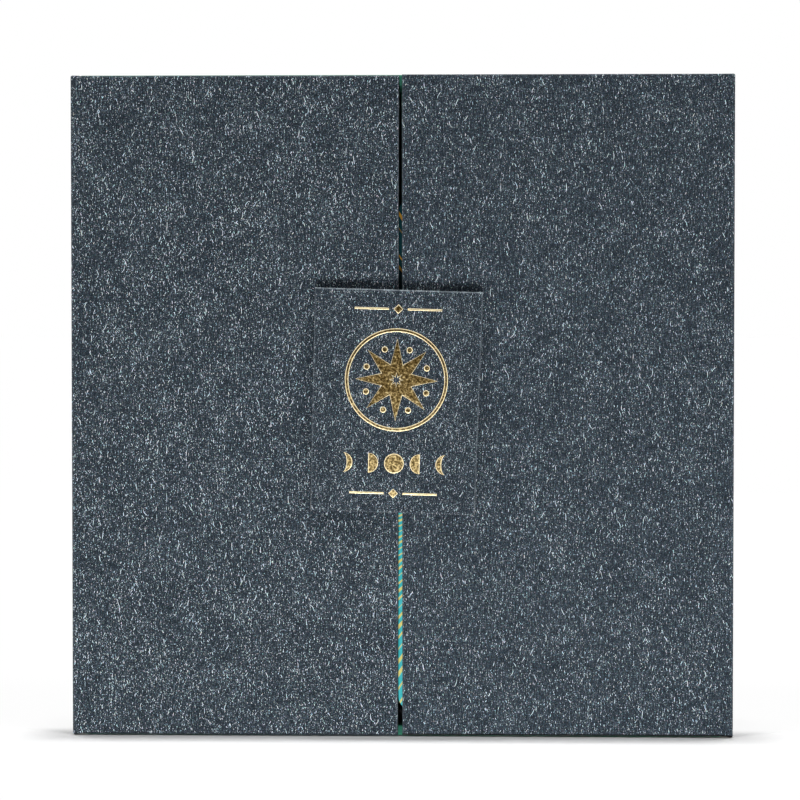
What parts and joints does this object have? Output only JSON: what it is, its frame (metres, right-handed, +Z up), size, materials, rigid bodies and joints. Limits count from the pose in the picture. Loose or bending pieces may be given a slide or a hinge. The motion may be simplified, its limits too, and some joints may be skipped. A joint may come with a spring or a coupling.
{
  "type": "boxed tarot card deck",
  "caption": "Square double-door presentation box in speckled dark paper with a magnetic tab across the doors, holding a stacked tarot deck and a guidebook in two wells.",
  "frame": {"origin": "middle of the bounding box's bottom face, on the surface that the box stands on", "axes": "+X to the right across the doors, -Y out of the doors towards the viewer, +Z up along the door hinges"},
  "size_m": [0.155, 0.0392, 0.155],
  "materials": {
    "cover_paper": "matte, flecked with pale fibres",
    "lining_paper": "matte teal",
    "grey_board": "raw grey board",
    "gold_foil": "hot-stamped foil",
    "magnet": "nickel plated",
    "tape": "double-sided tape",
    "foam": "closed-cell foam",
    "book_cover": "satin cover card",
    "page_paper": "uncoated",
    "card_stock": "satin card"
  },
  "bodies": {
    "box": {"case_wrap": "cover_paper", "back_board": "grey_board", "left_spine_board": "grey_board", "right_spine_board": "grey_board", "left_hinge_fold": "cover_paper", "right_hinge_fold": "cover_paper", "tray_floor_board": "grey_board", "tray_top_wall": "grey_board", "tray_bottom_wall": "grey_board", "tray_left_wall": "grey_board", "tray_right_wall": "grey_board", "tray_wrap": "lining_paper", "tray_lining": "lining_paper", "divider_board": "grey_board", "divider_wrap": "lining_paper", "deck_pad": "foam", "book_pad": "foam", "book_riser": "foam", "guidebook_cover": "book_cover", "guidebook_pages": "page_paper", "trump_cards": "card_stock", "wands_cards": "card_stock", "cups_cards": "card_stock", "swords_cards": "card_stock", "pentacles_cards": "card_stock"},
    "left_door": {"left_door_board": "grey_board", "left_door_wrap": "cover_paper", "left_door_lining": "lining_paper", "tab_board": "grey_board", "tab_wrap": "cover_paper", "tab_foil": "gold_foil", "tab_backing": "cover_paper", "tab_tape": "tape", "tab_magnets": "magnet"},
    "right_door": {"right_door_board": "grey_board", "right_door_wrap": "cover_paper", "right_door_lining": "lining_paper", "right_door_magnets": "magnet"}
  },
  "joints": [
    {"name": "left_door_hinge", "type": "hinge", "parent": "box", "child": "left_door", "pos_m": [-0.0772, -0.01651, 0], "axis": [0, 0, -1], "range_deg": [0, 175]},
    {"name": "right_door_hinge", "type": "hinge", "parent": "box", "child": "right_door", "pos_m": [0.0772, -0.01651, 0], "axis": [0, 0, 1], "range_deg": [0, 175]}
  ],
  "couplings": [
    {"joint": "right_door_hinge", "follows": "left_door_hinge", "ratio": 1}
  ]
}
